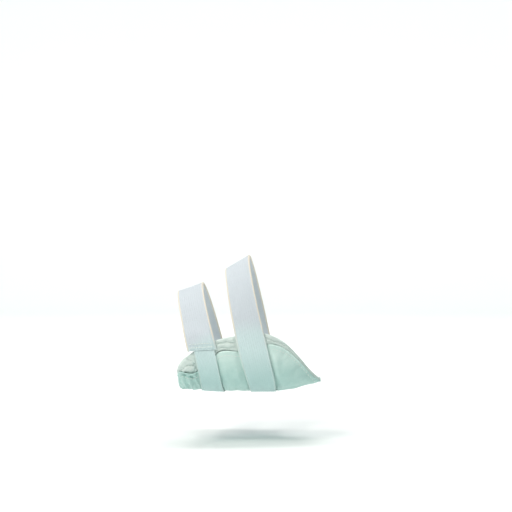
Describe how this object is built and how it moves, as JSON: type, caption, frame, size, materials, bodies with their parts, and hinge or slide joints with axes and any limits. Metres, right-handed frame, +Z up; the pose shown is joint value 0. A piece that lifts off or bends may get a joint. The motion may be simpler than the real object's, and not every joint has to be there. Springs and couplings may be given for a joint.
{
  "type": "arch support brace",
  "caption": "Wedge-shaped cloth-covered arch cushion with a gathered top rim and elastic straps that loop over the instep and under the sole.",
  "frame": {"origin": "middle of the arch seat, on the cushion's foot-facing side where the arch bears", "axes": "+X towards the heel, +Y towards the outer side of the foot, +Z up"},
  "size_m": [0.0898, 0.0857, 0.0856],
  "materials": {
    "cushion": "brushed liner over foam, matte",
    "cover": "smooth fine knit, matte",
    "rim": "gathered soft knit, matte",
    "front_strap": "ribbed woven elastic, matte",
    "rear_strap": "ribbed woven elastic, matte"
  },
  "bodies": {
    "root": {"arch_cushion": "cushion", "outer_cover": "cover", "top_rim": "rim", "front_strap": "front_strap", "rear_strap": "rear_strap"}
  },
  "joints": []
}
